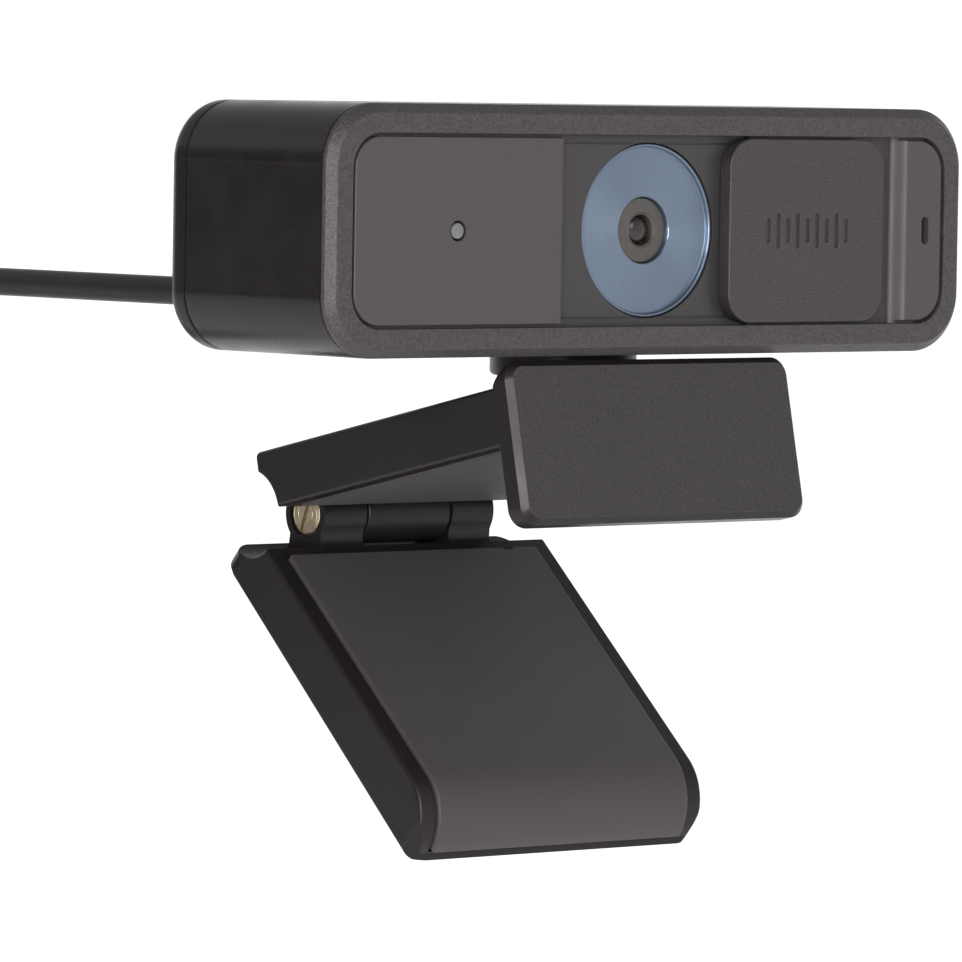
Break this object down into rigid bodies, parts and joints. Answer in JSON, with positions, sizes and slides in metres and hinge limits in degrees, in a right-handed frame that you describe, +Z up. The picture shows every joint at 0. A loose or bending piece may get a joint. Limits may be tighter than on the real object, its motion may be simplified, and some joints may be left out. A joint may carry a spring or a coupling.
{
  "type": "webcam",
  "caption": "Bar-shaped webcam with a sliding privacy shutter, a swivelling and tilting neck, a folding monitor clip with rubber pads, and a USB cable.",
  "frame": {"origin": "middle of the clip's arm pad, on the face that rests on the monitor's top edge", "axes": "+X to the right seen from the front, along the camera bar; +Y backwards, away from the person filmed; +Z up with the camera level"},
  "size_m": [0.099, 0.1287, 0.1203],
  "materials": {
    "front_frame": "fine grained charcoal",
    "main_shell": "satin black",
    "rear_cover": "satin black",
    "face_panel": "fine grained graphite",
    "shutter_cover": "fine grained charcoal",
    "lens_ring": "spun slate blue",
    "lens_barrel": "satin",
    "lens_holder": "matt black",
    "lens_glass": "coated",
    "filter_glass": "coated",
    "light_pipe": "frosted clear",
    "board": "green solder mask",
    "chip": "matt black",
    "led": "clear",
    "steel": "plated",
    "header": "natural nylon",
    "seal": "foam rubber",
    "clip": "satin black",
    "pad": "matt rubber",
    "brass": "turned",
    "cable": "smooth black jacket",
    "tie": "hook and loop strap",
    "tongue": "moulded"
  },
  "bodies": {
    "clip": {"clip_arm": "clip", "arm_pad": "pad", "lip_pad": "pad", "tilt_pin": "steel"},
    "leg": {"clip_leg": "clip", "leg_pad": "pad", "hinge_screw": "brass", "hinge_nut": "brass", "tripod_insert": "brass"},
    "neck": {"swivel_neck": "clip", "pan_washer": "steel", "pan_screw": "steel"},
    "camera": {"front_frame": "front_frame", "main_shell": "main_shell", "rear_cover": "rear_cover", "face_panel": "face_panel", "lens_ring": "lens_ring", "lens_barrel": "lens_barrel", "lens_front_element": "lens_glass", "lens_rear_element": "lens_glass", "lens_holder": "lens_holder", "ir_filter": "filter_glass", "image_sensor": "chip", "main_board": "board", "usb_controller": "chip", "flash_memory": "chip", "status_led": "led", "light_pipe": "light_pipe", "microphone": "steel", "mic_gasket": "seal", "cable_header": "header", "inner_lead": "cable", "board_screw_1": "steel", "board_screw_2": "steel", "board_screw_3": "steel", "board_screw_4": "steel", "strain_relief": "cable", "usb_cable": "cable", "cable_coil": "cable", "cable_tie": "tie", "usb_tail": "cable", "usb_plug_body": "cable", "usb_plug_shell": "steel", "usb_plug_tongue": "tongue"},
    "shutter": {"shutter_cover": "shutter_cover"}
  },
  "joints": [
    {"name": "leg_hinge", "type": "hinge", "parent": "clip", "child": "leg", "pos_m": [0, 0.025, -0.0055], "axis": [1, 0, 0], "range_deg": [-46, 124]},
    {"name": "tilt", "type": "hinge", "parent": "clip", "child": "neck", "pos_m": [0, -0.0052, 0.0084], "axis": [-1, 0, 0], "range_deg": [0, 34]},
    {"name": "pan", "type": "hinge", "parent": "neck", "child": "camera", "pos_m": [0, -0.0052, 0.0284], "axis": [0, 0, 1], "range_deg": [-180, 180]},
    {"name": "shutter_slide", "type": "slide", "parent": "camera", "child": "shutter", "axis": [-1, 0, 0], "range_m": [0, 0.0226]}
  ]
}
